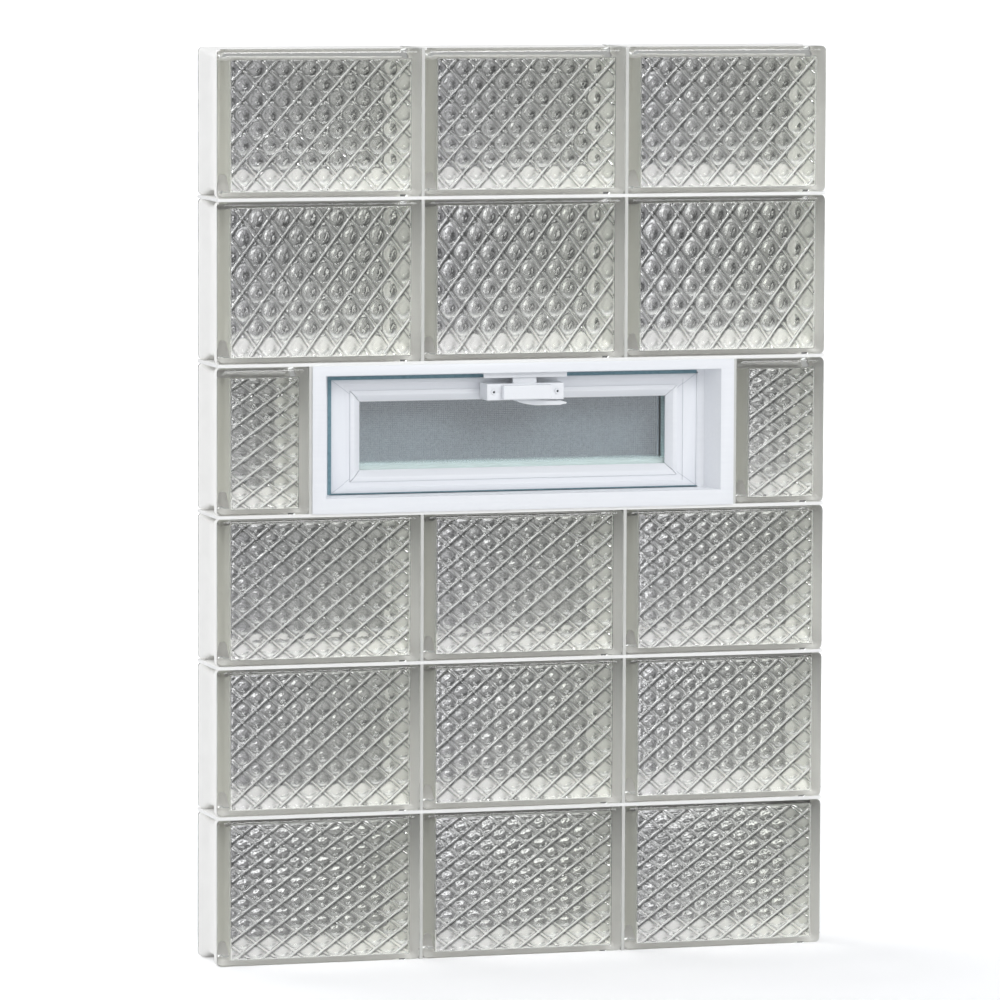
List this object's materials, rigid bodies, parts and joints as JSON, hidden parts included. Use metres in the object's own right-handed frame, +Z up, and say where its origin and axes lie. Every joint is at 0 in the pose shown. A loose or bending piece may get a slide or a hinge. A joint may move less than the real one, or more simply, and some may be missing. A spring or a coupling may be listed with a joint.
{
  "type": "glass block window",
  "caption": "Prefabricated panel of clear pressed glass blocks with silicone joints and a white hopper vent with latch, sealed glazing and fly screen in one course.",
  "frame": {"origin": "middle of the panel's bottom edge, half way through its depth", "axes": "+Z up, -Y towards the room, +X to the right as seen from the room"},
  "size_m": [0.5904, 0.0794, 0.85],
  "materials": {
    "block_glass": "pressed clear glass, white coat in the edge channel",
    "silicone": "tooled white silicone",
    "clear_glass": "clear float glass",
    "seal": "matte grey",
    "spacer": "mill",
    "steel": "zinc plated",
    "screen_frame": "white powder coat",
    "screen_cloth": "woven grey mesh",
    "latch_plastic": "white moulded plastic",
    "white_pvc": "white extruded PVC, satin"
  },
  "bodies": {
    "root": {"block_course1_left": "block_glass", "block_course1_middle": "block_glass", "block_course1_right": "block_glass", "block_course2_left": "block_glass", "block_course2_middle": "block_glass", "block_course2_right": "block_glass", "block_course3_left": "block_glass", "block_course3_middle": "block_glass", "block_course3_right": "block_glass", "block_course4_left": "block_glass", "block_course4_right": "block_glass", "block_course5_left": "block_glass", "block_course5_middle": "block_glass", "block_course5_right": "block_glass", "block_course6_left": "block_glass", "block_course6_middle": "block_glass", "block_course6_right": "block_glass", "glazing_bead_bottom": "white_pvc", "glazing_bead_left": "white_pvc", "glazing_bead_right": "white_pvc", "glazing_bead_top": "white_pvc", "glazing_gasket": "seal", "inner_pane": "clear_glass", "latch_base": "latch_plastic", "latch_cover": "latch_plastic", "latch_keeper": "latch_plastic", "latch_lever": "latch_plastic", "latch_screw_left": "steel", "latch_screw_right": "steel", "latch_tongue": "latch_plastic", "outer_pane": "clear_glass", "pane_spacer": "spacer", "pivot_pin_left": "steel", "pivot_pin_right": "steel", "sash_frame": "white_pvc", "screen_cloth": "screen_cloth", "screen_frame": "screen_frame", "silicone_bed_1": "silicone", "silicone_bed_2": "silicone", "silicone_bed_3": "silicone", "silicone_bed_4": "silicone", "silicone_bed_5": "silicone", "silicone_uprights_left": "silicone", "silicone_uprights_right": "silicone", "vent_frame": "white_pvc", "weather_seal": "seal"}
  },
  "joints": []
}
